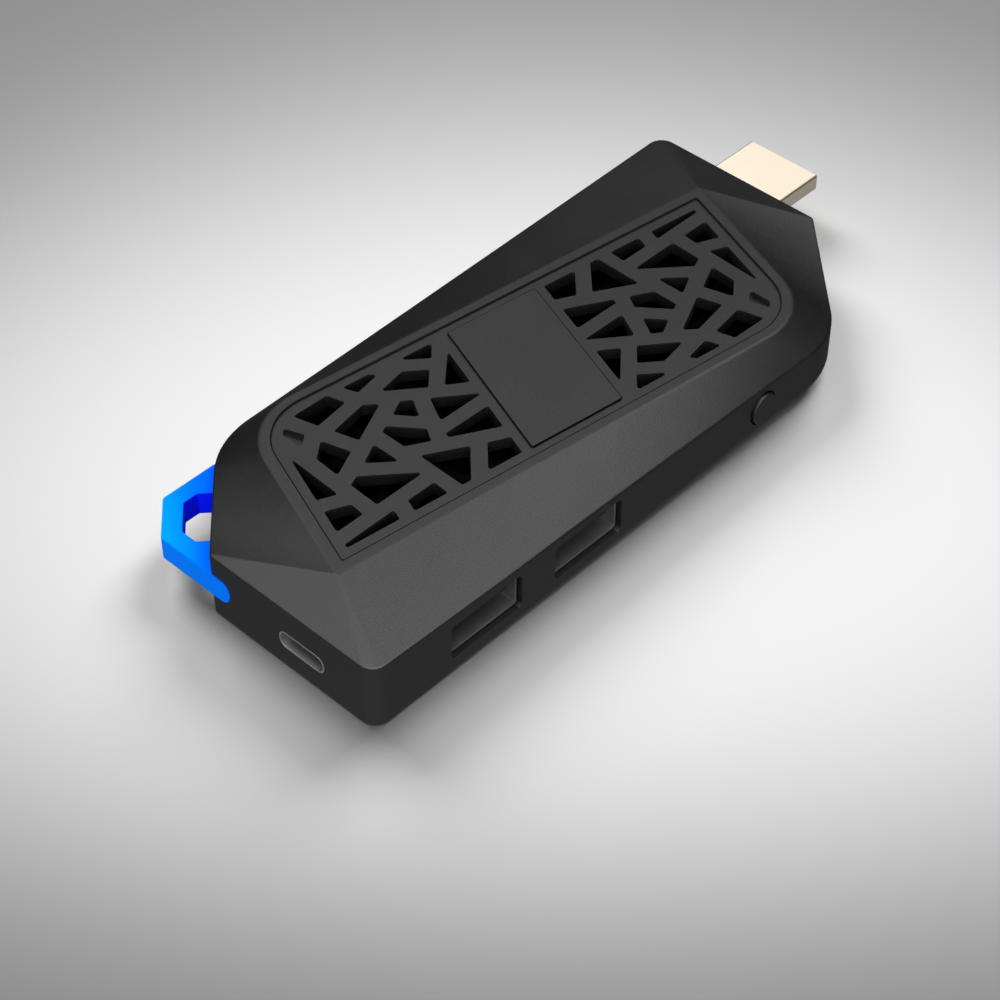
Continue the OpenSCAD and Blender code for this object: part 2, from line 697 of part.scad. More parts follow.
// What lies on the board
lid_in = 0.6;
lid_cut = 2.8;
module processor() color("#55585c") difference() {
    block(sink_at, board_top, [chip_w, chip_w, chip_h]);
    for (i = [-1, 1], j = [-1, 1])
        translate([sink_at[0] + i * chip_w / 2, sink_at[1] + j * chip_w / 2, board_top + lid_in])
            cylinder(h = chip_h, r = lid_cut);
}
memory_size = [9, 11, 0.9];
memory_gap = 14.8;
memory_side = 6.5;
module memory_chips() color("#18181a")
    for (side = [-1, 1]) block([socket_front + memory_gap, side * memory_side], board_top, memory_size);
storage_size = [11.5, 8, 0.9];
storage_back = 12.5;
storage_in = 8.8;
storage_at = [button_x - storage_back, -half_w + storage_in];
module storage_chip() color("#1a1a1c") block(storage_at, board_top, storage_size);
coil_size = [4, 4, 2];
coil_pitch = 5.6;
coil_back = 14.5;
coil_side = 6.4;
coil_dish = 0.4;
coil_at = [-half_l + coil_back, rear_left[1] - coil_side];
module power_coils() color("#4a4a4d")
    for (i = [-1:1]) difference() {
        block(coil_at + [0, i * coil_pitch], board_top, coil_size);
        translate([coil_at[0], coil_at[1] + i * coil_pitch, board_top + coil_size[2] - coil_dish])
            cylinder(h = past, r = coil_size[0] / 3);
    }
radio_size = [12, 8, 1.8];
radio_back = 39;
radio_in = 8.4;
radio_at = [half_l - radio_back, half_w - radio_in];
module wireless_module() color("#8d8f92") block(radio_at, board_top, radio_size);
antenna_size = [26, 0.4, 2.8];
antenna_rise = 0.8;
antenna_back = 45;
module antenna() color("#b98a4a")
    block([half_l - antenna_back, inner_y - antenna_size[1] / 2], board_top + antenna_rise, antenna_size);

// The heat sink: a base and fins, with two ears that stand on the board
sink_base = 1.2;
fin_t = 1;
fin_gap = 0.2;
fin_top = roof_z - fin_gap;
fin_pitch = (sink_w - fin_t) / (sink_fins - 1);
head_gap = 0.2;
thermal_w = chip_w - 2 * lid_cut;
module thermal_pad() color("#7d8088")
    block(sink_at, board_top + chip_h, [thermal_w, thermal_w, thermal_t]);
module heat_sink() color("#1c1c1e") difference() {
    union() {
        block(sink_at, cool_z, [sink_l, sink_w, sink_base]);
        for (i = [0:sink_fins - 1])
            block(sink_at + [0, (fin_t - sink_w) / 2 + i * fin_pitch], cool_z,
                [sink_l, fin_t, fin_top - cool_z]);
        posts(SINK_EARS, board_top, ear_top - board_top, ear_r);
    }
    posts(SINK_EARS, board_top - past, ear_top - board_top + past, small_screw_r + thread_gap);
    posts(SINK_EARS, ear_top, fin_top, head_r + head_gap);
}

// The fan: a square frame on legs, a bearing tube on spokes, and a bladed cup on a shaft
fan_r = 2.5;
fan_wall = 0.8;
fan_bore = fan_w / 2 - fan_wall;
leg_in = 0.1;
leg_r = ear_r - leg_in;
hub_r = 5.5;
hub_t = 0.9;
plate_r = 5.1;
tube_r = 1.8;
shaft_r = 0.75;
spoke_t = 0.9;
spoke_w = 2;
spoke_bite = 0.4;
SPOKES = [45, 165, 285];
tube_drop = 1.7;
tube_top = cool_z + fan_h - tube_drop;
shaft_floor = 0.4;
shaft_z = cool_z + shaft_floor;
cup_gap = 0.4;
cup_z = cool_z + spoke_t + cup_gap;
cup_drop = 0.3;
cup_top = cool_z + fan_h - cup_drop;
shaft_skin = 0.4;
shaft_top = cup_top - shaft_skin;
stator_size = [4, 2];
blade_t = 0.6;
blade_tilt = 40;
blade_in = 0.2;
blade_gap = 0.5;
module at_fan(z) translate([fan_at[0], fan_at[1], z]) children();
module fan_frame() color("#151517") difference() {
    union() {
        difference() {
            at_fan(cool_z) linear_extrude(fan_h) polygon(box_plan(fan_w, fan_w, fan_r));
            at_fan(cool_z - past) cylinder(h = fan_h + 2 * past, r = fan_bore);
        }
        for (a = SPOKES) at_fan(cool_z) rotate([0, 0, a])
            translate([0, -spoke_w / 2, 0]) cube([fan_bore + spoke_bite, spoke_w, spoke_t]);
        at_fan(cool_z) cylinder(h = spoke_t, r = plate_r);
        at_fan(cool_z) cylinder(h = tube_top - cool_z, r = tube_r);
        for (i = [-1, 1], j = [-1, 1])
            posts([fan_at + fan_ear * [i, j]], board_top, cool_z - board_top + spoke_t, leg_r);
    }
    at_fan(shaft_z) cylinder(h = fan_h, r = shaft_r + thread_gap);
    posts(FAN_EARS, board_top - past, ear_top - board_top + past, small_screw_r + thread_gap);
    posts(FAN_EARS, ear_top, fan_h, head_r + head_gap);
}
module fan_stator() color("#7a4a2a") at_fan(cool_z + spoke_t) difference() {
    cylinder(h = stator_size[1], r = stator_size[0]);
    translate([0, 0, -past]) cylinder(h = stator_size[1] + 2 * past, r = tube_r + thread_gap);
}
module fan_rotor() color("#1a1a1c") {
    difference() {
        at_fan(cup_z) cylinder(h = cup_top - cup_z, r = hub_r);
        at_fan(cup_z - past) cylinder(h = cup_top - cup_z - hub_t + past, r = hub_r - hub_t);
        at_fan(cup_z) cylinder(h = shaft_top - cup_z, r = shaft_r + thread_gap / 2);
    }
    for (i = [0:fan_blades - 1]) at_fan(0) rotate([0, 0, i * 360 / fan_blades])
        intersection() {
            translate([hub_r - hub_t / 2, 0, (cup_z + cup_top) / 2]) rotate([blade_tilt, 0, 0])
                translate([0, -fan_h / 2, -blade_t / 2]) cube([fan_bore, fan_h, blade_t]);
            translate([0, 0, cup_z + blade_in])
                cylinder(h = cup_top - cup_z - 2 * blade_in, r = fan_bore - blade_gap);
        }
}
module fan_shaft() color("#c4c4c8")
    at_fan(shaft_z + thread_gap) cylinder(h = shaft_top - shaft_z - 2 * thread_gap, r = shaft_r);

// A screw with a cross recess: its head starts at z = 0 and its shank points up
module screw(head, r, length) difference() {
    union() {
        cylinder(h = head[2], r1 = head[0], r2 = head[1]);
        cylinder(h = length, r = r);
    }
    for (a = [0, 90]) rotate([0, 0, a]) block([0, 0], -past, [2 * r, r / 2, past + r / 2]);
}
cover_head = [cover_head_r - thread_gap, cover_screw_r, cover_head_h - thread_gap];
small_head = [head_r, head_r, head_h];
module cover_screws() color("#b4b4b8")
    for (p = COVER_POSTS) translate([p[0], p[1], 0]) screw(cover_head, cover_screw_r, cover_screw_l);
module board_screws() color("#b4b4b8")
    for (p = BOARD_POSTS) translate([p[0], p[1], board_z - head_h])
        screw(small_head, small_screw_r, head_h + board_t + board_screw_l - thread_gap);
module cooling_screws() color("#b4b4b8")
    for (p = concat(FAN_EARS, SINK_EARS)) translate([p[0], p[1], ear_top + head_h]) mirror([0, 0, 1])
        screw(small_head, small_screw_r, head_h + ear_top - board_z);

top_housing();
bottom_cover();
grille_plate();
centre_pad();
lanyard_loop();
power_button();
video_plug_shell();
video_plug_core();
video_plug_pins();
rear_socket_shell();
rear_socket_tongue();
rear_socket_pins();
front_socket_shell();
front_socket_tongue();
front_socket_pins();
power_socket_shell();
power_socket_tongue();
main_board();
processor();
memory_chips();
storage_chip();
power_coils();
wireless_module();
antenna();
button_switch();
switch_plunger();
thermal_pad();
heat_sink();
fan_frame();
fan_stator();
fan_rotor();
fan_shaft();
cover_screws();
board_screws();
cooling_screws();
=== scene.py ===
import json
import math

import bmesh
import bpy
from mathutils import geometry, Matrix, Vector


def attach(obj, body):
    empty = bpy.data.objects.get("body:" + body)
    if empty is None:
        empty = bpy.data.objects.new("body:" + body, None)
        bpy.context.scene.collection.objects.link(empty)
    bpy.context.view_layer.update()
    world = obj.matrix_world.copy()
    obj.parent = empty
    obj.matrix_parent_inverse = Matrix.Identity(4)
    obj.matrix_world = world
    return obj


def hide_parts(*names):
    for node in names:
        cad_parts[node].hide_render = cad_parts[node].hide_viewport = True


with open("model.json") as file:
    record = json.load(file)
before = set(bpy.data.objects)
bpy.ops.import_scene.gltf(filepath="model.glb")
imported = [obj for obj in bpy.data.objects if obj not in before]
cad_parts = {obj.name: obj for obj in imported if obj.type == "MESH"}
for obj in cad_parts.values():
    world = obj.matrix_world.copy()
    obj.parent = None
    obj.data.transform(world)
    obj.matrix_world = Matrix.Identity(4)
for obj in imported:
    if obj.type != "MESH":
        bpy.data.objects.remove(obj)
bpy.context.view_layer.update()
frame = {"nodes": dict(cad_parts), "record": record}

nodes = frame["nodes"]
mm = 0.001
midNoise = 0.5                   # what a noise swings about
print("frame:", len(nodes), "nodes")

bodyOf = {}
for bodyName, members in frame["record"]["behaviour"]["bodies"].items():
    for member in members:
        bodyOf[member] = bodyName
slotOf = {row["node"]: row["material_slot"] for row in frame["record"]["subparts"]}


class Wire:
    # a node's output that takes part in Python sums
    def __init__(self, tree, socket):
        self.tree = tree
        self.socket = socket

    def maths(self, operation, first, second):
        return self.tree.node("ShaderNodeMath", {"operation": operation}, {0: first, 1: second})

    def __add__(self, other):
        return self.maths("ADD", self, other)

    def __radd__(self, other):
        return self.maths("ADD", other, self)

    def __sub__(self, other):
        return self.maths("SUBTRACT", self, other)

    def __rsub__(self, other):
        return self.maths("SUBTRACT", other, self)

    def __mul__(self, other):
        return self.maths("MULTIPLY", self, other)

    def __rmul__(self, other):
        return self.maths("MULTIPLY", other, self)

    def __truediv__(self, other):
        return self.maths("DIVIDE", self, other)

    def __rtruediv__(self, other):
        return self.maths("DIVIDE", other, self)

    def __pow__(self, other):
        return self.maths("POWER", self, other)

    def __rpow__(self, other):
        return self.maths("POWER", other, self)


class Tree:
    # a node tree with the shader that it feeds
    def __init__(self, tree, shader):
        self.tree = tree
        self.shader = tree.nodes[shader]

    def node(self, kind, settings=None, sockets=None, output=0):
        made = self.tree.nodes.new(kind)
        for key, setting in (settings or {}).items():
            setattr(made, key, setting)
        for key, value in (sockets or {}).items():
            self.feed(made.inputs[key], value)
        return Wire(self, made.outputs[output])

    def feed(self, socket, value):
        if isinstance(value, Wire):
            self.tree.links.new(value.socket, socket)
        else:
            socket.default_value = value

    def shade(self, sockets):
        for key, value in sockets.items():
            self.feed(self.shader.inputs[key], value)

    def place(self, stretch=None):
        at = self.node("ShaderNodeTexCoord", output="Object")
        if stretch:
            at = self.node("ShaderNodeVectorMath", {"operation": "MULTIPLY"}, {0: at, 1: stretch})
        return at

    def noise(self, at, size, detail=2):
        return self.node("ShaderNodeTexNoise", None, {"Vector": at, "Scale": 1 / size, "Detail": detail})

    def dot(self, first, second):
        settings = {"operation": "DOT_PRODUCT"}
        return self.node("ShaderNodeVectorMath", settings, {0: first, 1: second}, "Value")

    def blend(self, share, first, second):
        return self.node("ShaderNodeMix", {"data_type": "RGBA"}, {0: share, 6: first, 7: second}, 2)

    def bump(self, height, depth):
        return self.node("ShaderNodeBump", None, {"Height": height, "Distance": depth, "Strength": 1})


def newFinish(name):
    material = bpy.data.materials.new(name)
    material.use_nodes = True
    return material, Tree(material.node_tree, "Principled BSDF")


def rgba(*tone):
    return (*tone, 1)


# Camera, at the photograph's angle
shot = {
    "lens": 89.27,
    "sensor": 36,
    "heading": math.radians(43.51),
    "drop": math.radians(44.12),
    "distance": 373.87 * mm,
    "nearest": 10 * mm,          # what is closer than this isn't drawn
    "originRight": 4.925 * mm,   # where the middle of the case lies from the middle of the picture
    "originUp": 10.428 * mm,
}
aheadFlat = Vector((math.cos(shot["heading"]), math.sin(shot["heading"]), 0))
rightWay = Vector((aheadFlat.y, -aheadFlat.x, 0))
forward = aheadFlat * math.cos(shot["drop"]) - Vector((0, 0, math.sin(shot["drop"])))
upWay = rightWay.cross(forward)
camera = bpy.data.objects.new("photoCamera", bpy.data.cameras.new("photoCamera"))
camera.data.lens = shot["lens"]
camera.data.sensor_width = shot["sensor"]
camera.data.clip_start = shot["nearest"]
turn = Matrix((rightWay, upWay, -forward)).transposed().to_4x4()
spot = -forward * shot["distance"] - rightWay * shot["originRight"] - upWay * shot["originUp"]
camera.matrix_world = Matrix.Translation(spot) @ turn
bpy.context.collection.objects.link(camera)
bpy.context.scene.camera = camera
bpy.context.scene.view_settings.view_transform = "Standard"
print("camera placed")


# Light: a soft sky overhead, and two soft sheets behind the object that throw its shadow forwards
sky = {
    "middle": Vector((0.0, -0.025, 1.0)).normalized(),
    "bright": 0.525,
    "focus": 5.2,
    "under": 0.024,              # what upright faces mirror of the ground
    "underFocus": 1.5,
    "near": 0.043,               # a faint wall of light on the camera's side
    "nearFrom": 0.3,
    "nearMost": 0.45,
    "mirrored": 0.8,             # how much more of the sky the glossy faces see
    "nearMirrored": 5.9,         # and of the ground and the wall
    "backdrop": 0.27,            # what the camera sees where the floor ends
}
world = bpy.data.worlds.new("studio")
bpy.context.scene.world = world
world.use_nodes = True
air = Tree(world.node_tree, "Background")
lookWay = air.node("ShaderNodeTexCoord", output="Generated")
height = air.dot(lookWay, sky["middle"])
height = air.node("ShaderNodeMath", {"operation": "MAXIMUM"}, {0: height, 1: 0.0})
depth = air.dot(lookWay, (0, 0, -1))
depth = air.node("ShaderNodeMath", {"operation": "MAXIMUM"}, {0: depth, 1: 0.0})
near = sky["nearFrom"] - air.dot(lookWay, aheadFlat)
near = air.node("ShaderNodeMath", {"operation": "MAXIMUM"}, {0: near, 1: 0.0})
near = air.node("ShaderNodeMath", {"operation": "MINIMUM"}, {0: near, 1: sky["nearMost"]})
shiny = air.node("ShaderNodeLightPath", output="Is Glossy Ray")
glow = sky["under"] * depth ** sky["underFocus"] + sky["near"] * near
glow = glow * (1 + shiny * sky["nearMirrored"])
glow = glow + sky["bright"] * height ** sky["focus"] * (1 + shiny * sky["mirrored"])
seen = air.node("ShaderNodeLightPath", output="Is Camera Ray")
air.shade({"Color": rgba(1, 1, 1), "Strength": glow + seen * (sky["backdrop"] - glow)})

objectOnly = bpy.data.collections.new("objectOnly")
plugOnly = bpy.data.collections.new("plugOnly")
loopOnly = bpy.data.collections.new("loopOnly")
mouldedOnly = bpy.data.collections.new("mouldedOnly")
lights = {                       # the sheets that spare the floor, with the pieces that they light
    "objectFill": objectOnly,
    "plugCard": plugOnly,
    "plugGround": plugOnly,
    "loopCard": loopOnly,
}
sheets = {
    "frontSheet": {"bearing": 14, "rise": 35, "power": 34.5, "size": 1.2, "away": 2.0},
    "leftSheet": {"bearing": 77, "rise": 35, "power": 34.5, "size": 1.2, "away": 2.0},
    "objectFill": {"bearing": 223, "rise": 18, "power": 9, "size": 1.6, "away": 1.5},
    # what the plug's top and side mirror, and what brightens the loop
    "plugCard": {"bearing": 43.5, "rise": 44, "power": 2.06, "size": 0.8, "away": 1.0},
    "plugGround": {"bearing": -46.5, "rise": -44, "power": 0.36, "size": 0.8, "away": 1.0},
    "loopCard": {"bearing": 210, "rise": 38, "power": 5.8, "size": 0.8, "away": 1.0},
}


def softSheet(name, sheet):
    lamp = bpy.data.objects.new(name, bpy.data.lights.new(name, "AREA"))
    lamp.data.shape = sheet.get("shape", "DISK")
    lamp.data.size = sheet["size"]
    lamp.data.energy = sheet["power"]
    bearing = math.radians(sheet["bearing"])
    rise = math.radians(sheet["rise"])
    level = math.cos(rise)
    way = Vector((math.cos(bearing) * level, math.sin(bearing) * level, math.sin(rise)))
    lamp.location = way * sheet["away"]
    lamp.rotation_mode = "QUATERNION"
    lamp.rotation_quaternion = way.to_track_quat("Z", "Y")
    bpy.context.collection.objects.link(lamp)
    return lamp


for name, sheet in sheets.items():
    lamp = softSheet(name, sheet)
    if name in lights:
        lamp.light_linking.receiver_collection = lights[name]
    else:
        lamp.visible_glossy = False

# One wide sheet overhead that only shows as the sheen of the mouldings
overhead = {
    "bearing": -115,
    "rise": 87.6,
    "shape": "SQUARE",
    "size": 4.4,
    "away": 1.0,
    "middle": (0.5, 0.5, 0),     # on the sheet, whose sides run from 0 to 1
    "bright": 2.62,
    "focus": 6.0,
}
overhead["power"] = math.pi * overhead["bright"] * overhead["size"] ** 2
sheen = softSheet("overheadSheet", overhead)
sheen.data.use_nodes = True
sheen.visible_camera = False
sheen.visible_diffuse = False
sheen.light_linking.receiver_collection = mouldedOnly
glowing = Tree(sheen.data.node_tree, "Emission")
at = glowing.node("ShaderNodeNewGeometry", output="Parametric")
sockets = {0: at, 1: overhead["middle"]}
out = glowing.node("ShaderNodeVectorMath", {"operation": "DISTANCE"}, sockets, "Value")
slope = out * (overhead["size"] / overhead["away"])
glowing.shade({"Strength": (1 + slope * slope) ** (-overhead["focus"] / 2)})

# Floor: a painted pool of light, pale round the object and greyer far from it
ground = {
    "half": 0.3,
    "tone": 0.9,
    "farShare": 0.25,
    "middleAcross": 6 * mm,      # where the painted pool of light is palest, from the middle of the case
    "middleAlong": -17 * mm,
    "across": 150 * mm,          # how far the painted pool of light reaches, across the view and along it
    "along": 105 * mm,
    "shorten": 1.98,             # per metre: less quickly with distance
    "fade": 1.945,
    "curve": 3.2,
    "roughness": 0.9,
    "shine": 0.1,
}
floorMesh = bpy.data.meshes.new("floor")
side = ground["half"]
corners = [(-side, -side, 0), (side, -side, 0), (side, side, 0), (-side, side, 0)]
floorMesh.from_pydata(corners, [], [(0, 1, 2, 3)])
floor = bpy.data.objects.new("floor", floorMesh)
bpy.context.collection.objects.link(floor)
floor.visible_glossy = False     # the glossy faces see the even ground of the sky instead
floor.visible_shadow = False
floorMaterial, paper = newFinish("paperFloor")
at = paper.place()
across = (paper.dot(at, rightWay) - ground["middleAcross"]) / ground["across"]
along = paper.dot(at, aheadFlat) - ground["middleAlong"]
along = along / (ground["along"] * (1 + along * ground["shorten"]))
away = (across * across + along * along) ** 0.5
# painted pool of light: the floor's tone falls off with distance from its palest spot
share = math.e ** (away ** ground["curve"] * -ground["fade"])
tone = ground["tone"] * (ground["farShare"] + (1 - ground["farShare"]) * share)
paper.shade({
    "Base Color": paper.node("ShaderNodeCombineColor", None, {0: tone, 1: tone, 2: tone}),
    "Roughness": ground["roughness"],
    "Specular IOR Level": ground["shine"],
})
floorMesh.materials.append(floorMaterial)
print("floor and lights made")


# Soft copies: a node's own form with its flat triangles joined and its hard edges rounded
softForm = {
    "weld": 0.0002 * mm,
    "flat": math.radians(0.4),
    "crease": math.radians(40),
    "profile": 0.5,
    "evenness": 100,
}


def softCopy(piece):
    source = nodes[piece["node"]].data
    mesh = bpy.data.meshes.new(piece["name"])
    mesh.from_pydata([v.co for v in source.vertices], [], [p.vertices[:] for p in source.polygons])
    form = bmesh.new()
    form.from_mesh(mesh)
    bmesh.ops.remove_doubles(form, verts=form.verts, dist=softForm["weld"])
    bmesh.ops.dissolve_limit(form, angle_limit=softForm["flat"], verts=form.verts, edges=form.edges)
    limit = math.radians(piece["hardAngle"])
    hard = [e for e in form.edges if e.is_manifold and e.calc_face_angle() > limit]
    bmesh.ops.bevel(form, geom=hard, offset=piece["edge"] * mm, segments=piece["steps"],
                    profile=softForm["profile"], affect="EDGES", clamp_overlap=True, loop_slide=False)
    for face in form.faces:
        face.smooth = True
    for edge in form.edges:
        edge.smooth = not edge.is_manifold or edge.calc_face_angle() < softForm["crease"]
    form.to_mesh(mesh)
    form.free()
    made = bpy.data.objects.new(piece["name"], mesh)
    bpy.context.collection.objects.link(made)
    objectOnly.objects.link(made)
    mouldedOnly.objects.link(made)
    even = made.modifiers.new("evenFaces", "WEIGHTED_NORMAL")
    even.keep_sharp = True
    even.weight = softForm["evenness"]
    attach(made, bodyOf[piece["node"]])
    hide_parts(piece["node"])
    mesh.materials.append(piece["finish"])
    return made


# Moulded plastic with a fine spark-eroded grain; upright faces take a tone of their own, painted to stand
# for the light and shade that falls on them
def mouldedPlastic(name, look):
    material, finish = newFinish(name)
    at = finish.place()
    grain = finish.noise(at, look["grain"] * mm, 2)
    cloud = finish.noise(at, look["cloud"] * mm, 3)
    facing = finish.node("ShaderNodeNewGeometry", output="True Normal")
    level = finish.dot(facing, (0, 0, 1))
    upright = 1 - finish.node("ShaderNodeMath", {"operation": "ABSOLUTE"}, {0: level})
    speckle = midNoise + (grain - midNoise) * look["contrast"] + (cloud - midNoise) * look["cloudShare"]
    top = finish.blend(speckle, rgba(*look["dark"]), rgba(*look["light"]))
    rough = look["roughness"]
    if "inside" in look:         # the openings are smoother than the face that they pierce
        level = finish.dot(at, (0, 0, 1))
        face = look["inside"] * mm
        inside = finish.node("ShaderNodeMath", {"operation": "LESS_THAN"}, {0: level, 1: face})
        rough = rough + inside * (look["insideRoughness"] - rough)
    finish.shade({
        # painted light and shade: steep faces take the upright tone in place of the grain tone
        "Base Color": finish.blend(upright ** look["steepness"], top, rgba(*look["upright"])),
        "Roughness": rough + (grain - midNoise) * look["sparkle"] + (cloud - midNoise) * look["swing"],
        "Specular IOR Level": look["shine"],
        "Normal": finish.bump(grain, look["depth"] * mm),
    })
    return material


caseLook = {
    "dark": (0.001, 0.001, 0.0011),
    "light": (0.012, 0.012, 0.0126),
    # painted shade: the case's upright faces take a darker tone of their own
    "upright": (0.005, 0.005, 0.0053),
    "steepness": 4,              # how steep a face is before it takes the painted upright tone
    "contrast": 2.2,
    "cloudShare": 0.3,
    "grain": 0.16,
    "cloud": 9,
    "depth": 0.042,
    "sparkle": 0.3,              # how far the roughness swings, finely and broadly
    "swing": 0.05,
    "roughness": 0.43,
    "shine": 0.9,
}
housing = {
    "node": "top_housing",
    "name": "upperHousing",
    "edge": 0.06,
    "steps": 2,
    "hardAngle": 50,
    "finish": mouldedPlastic("caseBlack", caseLook),
}
softCopy(housing)

coverLook = dict(caseLook, grain=0.3, depth=0.08, roughness=0.5)
cover = {
    "node": "bottom_cover",
    "name": "underCover",
    "edge": 0.1,
    "steps": 2,
    "hardAngle": 40,
    "finish": mouldedPlastic("coverBlack", coverLook),
}
softCopy(cover)

grilleLook = dict(caseLook, depth=0.036, inside=12.6, insideRoughness=0.28)
# painted light: the upright walls of the openings take a paler tone, as if lit
grilleLook.update(upright=(0.024, 0.024, 0.0255))
grille = {
    "node": "grille_plate",
    "name": "piercedPlate",
    "edge": 0.06,
    "steps": 2,
    "hardAngle": 50,
    "finish": mouldedPlastic("grilleBlack", grilleLook),
}
softCopy(grille)

# painted light: the plaque's upright faces take a paler tone of their own
padLook = dict(caseLook, depth=0.045, upright=(0.012, 0.012, 0.013))
pad = {
    "node": "centre_pad",
    "name": "centrePlaque",
    "edge": 0.07,
    "steps": 2,
    "hardAngle": 50,
    "finish": mouldedPlastic("padBlack", padLook),
}
softCopy(pad)

# painted shade: the button's upright faces, its face among them, take the upright tone set here
buttonLook = dict(caseLook, grain=0.14, depth=0.02, upright=(0.006, 0.006, 0.0064))
button = {
    "node": "power_button",
    "name": "pushButton",
    "edge": 0.18,
    "steps": 3,
    "hardAngle": 50,
    "finish": mouldedPlastic("buttonBlack", buttonLook),
}
softCopy(button)


# Painted shade: dark strips that fill the seams round the plate and the plaque, made from the outline of
# each, stand for the shade in these seams
def seamShadeStrip(piece):
    flat = [v.co.xy for v in nodes[piece["node"]].data.vertices]
    outline = []
    for index in geometry.convex_hull_2d(flat):
        if not outline or (flat[index] - outline[-1]).length > piece["shortest"] * mm:
            outline.append(flat[index])
    middle = (piece["inner"] + piece["outer"]) / 2
    section = [
        (piece["inner"], piece["low"]),
        (piece["inner"], piece["top"] - piece["crown"]),
        (middle, piece["top"]),
        (piece["outer"], piece["top"] - piece["crown"]),
        (piece["outer"], piece["low"]),
    ]
    points = []
    for index, here in enumerate(outline):
        before = (here - outline[index - 1]).normalized()
        after = (outline[(index + 1) % len(outline)] - here).normalized()
        out = Vector((before.y + after.y, -before.x - after.x)) / (1 + before.dot(after))
        for reach, level in section:
            points.append((*(here + out * reach * mm), level * mm))
    count = len(section)
    faces = []
    for index in range(len(outline)):
        first = index * count
        second = (index + 1) % len(outline) * count
        for step in range(count):
            then = (step + 1) % count
            faces.append((first + step, second + step, second + then, first + then))
    mesh = bpy.data.meshes.new(piece["name"])
    mesh.from_pydata(points, [], faces)
    form = bmesh.new()
    form.from_mesh(mesh)
    bmesh.ops.recalc_face_normals(form, faces=form.faces)
    form.to_mesh(mesh)
    form.free()
    made = bpy.data.objects.new(piece["name"], mesh)
    bpy.context.collection.objects.link(made)
    objectOnly.objects.link(made)
    mouldedOnly.objects.link(made)
    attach(made, bodyOf[piece["node"]])
    mesh.materials.append(piece["finish"])


# painted shade: a near-black, dull tone for the strips in the seams
seamShadeLook = dict(caseLook, depth=0.01, roughness=0.8, shine=0.12)
seamShadeLook.update(dark=(0.002, 0.002, 0.002), light=(0.004, 0.004, 0.004), upright=(0.003, 0.003, 0.003))
plateSeamShade = {
    "node": "grille_plate",
    "name": "plateSeamShade",
    "inner": 0.01,
    "outer": 0.19,
    "low": 12.5,
    "top": 13.19,
    "crown": 0.03,
    "shortest": 0.01,
    # painted light: the plate's strip has a paler upright wall, so the dark line reads thinner
    "finish": mouldedPlastic("plateSeamShade", dict(seamShadeLook, upright=(0.03, 0.03, 0.03))),
}
seamShadeStrip(plateSeamShade)
plaqueSeamShade = {
    "node": "centre_pad",
    "name": "plaqueSeamShade",
    "inner": 0.01,
    "outer": 0.13,
    "low": 12.8,
    "top": 13.2,
    "crown": 0.03,
    "shortest": 0.01,
    "finish": mouldedPlastic("plaqueSeamShade", seamShadeLook),
}
seamShadeStrip(plaqueSeamShade)
print("black mouldings made")


# Loop: dyed plastic, with painted shade: darker next to the case and paler towards its outer corner, a
# tone of its own on upright faces, and a deeper blue inside the eye
def dyedPlasticAndShade(name, look):
    material, finish = newFinish(name)
    at = finish.place()
    fromEye = finish.node("ShaderNodeVectorMath", {"operation": "SUBTRACT"}, {0: at, 1: look["eye"]})
    facing = finish.node("ShaderNodeNewGeometry", output="True Normal")
    turned = finish.dot(facing, fromEye)
    # painted shade: faces inside the eye are marked for the deeper blue
    inner = finish.node("ShaderNodeMath", {"operation": "LESS_THAN"}, {0: turned, 1: -look["turned"] * mm})
    outward = finish.dot(fromEye, look["outward"])
    outward = finish.node("ShaderNodeMapRange", {"interpolation_type": "SMOOTHSTEP"},
                          {"Value": outward, "From Min": look["from"] * mm, "From Max": look["to"] * mm})
    grain = finish.noise(at, look["grain"] * mm, 2)
    cloud = finish.noise(at, look["cloud"] * mm, 2)
    # painted shade by the case, with a random cloud of tone
    caseShadeAndCloud = outward + (cloud - midNoise) * look["swing"]
    blue = finish.blend(caseShadeAndCloud, rgba(*look["dark"]), rgba(*look["light"]))
    level = finish.node("ShaderNodeMath", {"operation": "ABSOLUTE"}, {0: finish.dot(facing, (0, 0, 1))})
    # painted shade: upright faces take the side tone
    blue = finish.blend(level, rgba(*look["side"]), blue)
    finish.shade({
        "Base Color": finish.blend(inner, blue, rgba(*look["eyeShade"])),
        "Roughness": look["roughness"] + (grain - midNoise) * look["sparkle"],
        "Specular IOR Level": look["shine"],
        "Normal": finish.bump(grain, look["depth"] * mm),
    })
    return material


loopLook = {
    # painted shade: dark next to the case, light at the outer corner, the side tone on upright faces, the
    # deeper blue inside the eye
    "dark": (0.0, 0.1, 0.96),
    "light": (0.0, 0.32, 0.98),
    "side": (0.0, 0.19, 0.98),
    "eyeShade": (0.002, 0.008, 0.95),
    "eye": Vector((-52.5, 16.5, 5.7)) * mm,
    "turned": 0.5,               # faces that look at the eye by more than this are inside it
    "outward": (-0.85, 0.53, 0),
    "from": -4,                  # from the case to the outer corner, over which the painted shade fades
    "to": 8,
    "swing": 0.15,
    "sparkle": 0.1,
    "grain": 0.3,
    "cloud": 6,
    "depth": 0.006,
    "roughness": 0.5,
    "shine": 0.01,
}
loop = {
    "node": "lanyard_loop",
    "name": "lanyardLoop",
    "edge": 0.3,
    "steps": 3,
    "hardAngle": 40,
    "finish": dyedPlasticAndShade("loopBlue", loopLook),
}
lanyardLoop = softCopy(loop)
loopOnly.objects.link(lanyardLoop)
lanyardLoop.visible_diffuse = False        # keeps its blue off the floor
print("loop made")


